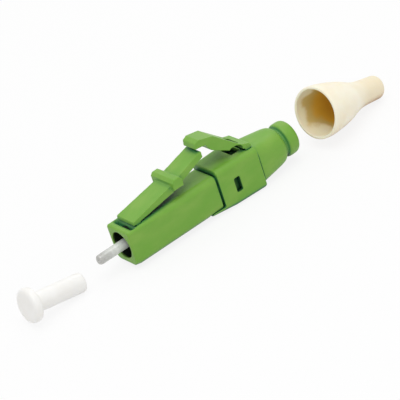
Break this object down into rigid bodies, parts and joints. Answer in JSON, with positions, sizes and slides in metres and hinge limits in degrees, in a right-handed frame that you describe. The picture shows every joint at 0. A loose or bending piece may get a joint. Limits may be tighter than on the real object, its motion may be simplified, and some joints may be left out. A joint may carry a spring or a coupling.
{
  "type": "lc fibre connector",
  "caption": "Small latched fibre-optic connector with angled ceramic ferrule, sprung latch and trigger, pulled-off strain-relief boot behind and dust cap in front.",
  "frame": {"origin": "on the ferrule's axis in the plane of the nose's front face", "axes": "+X is the direction in which the connector plugs in, +Z the latch side, +Y completes the frame"},
  "size_m": [0.0554, 0.008, 0.01],
  "materials": {
    "green_plastic": "moulded, slightly glossy",
    "zirconia": "ground and polished",
    "flange_metal": "turned, nickel plated",
    "spring_steel": "drawn wire",
    "guide_plastic": "extruded",
    "boot_ivory": "soft moulded",
    "cap_translucent": "translucent moulded"
  },
  "bodies": {
    "housing": {"front_housing": "green_plastic", "rear_housing": "green_plastic", "back_post": "green_plastic", "compression_spring": "spring_steel", "boot": "boot_ivory", "dust_cap": "cap_translucent"},
    "latch": {"latch_arm": "green_plastic"},
    "trigger": {"trigger_lever": "green_plastic"},
    "ferrule_unit": {"ferrule": "zirconia", "ferrule_flange": "flange_metal", "guide_tube": "guide_plastic"}
  },
  "joints": [
    {"name": "trigger_press", "type": "hinge", "parent": "housing", "child": "trigger", "pos_m": [-0.01913, 0, 0.00302], "axis": [0, 1, 0], "range_deg": [0, 12], "stiffness_Nm_per_rad": 0.004},
    {"name": "latch_press", "type": "hinge", "parent": "housing", "child": "latch", "pos_m": [-0.00212, 0, 0.0023], "axis": [0, -1, 0], "range_deg": [0, 7.9]},
    {"name": "ferrule_float", "type": "slide", "parent": "housing", "child": "ferrule_unit", "axis": [-1, 0, 0], "range_m": [0, 0.0006], "stiffness_N_per_m": 600, "springref_m": -0.0005, "deforming": ["compression_spring"]}
  ],
  "couplings": [
    {"joint": "latch_press", "follows": "trigger_press", "ratio": 0.58333}
  ]
}
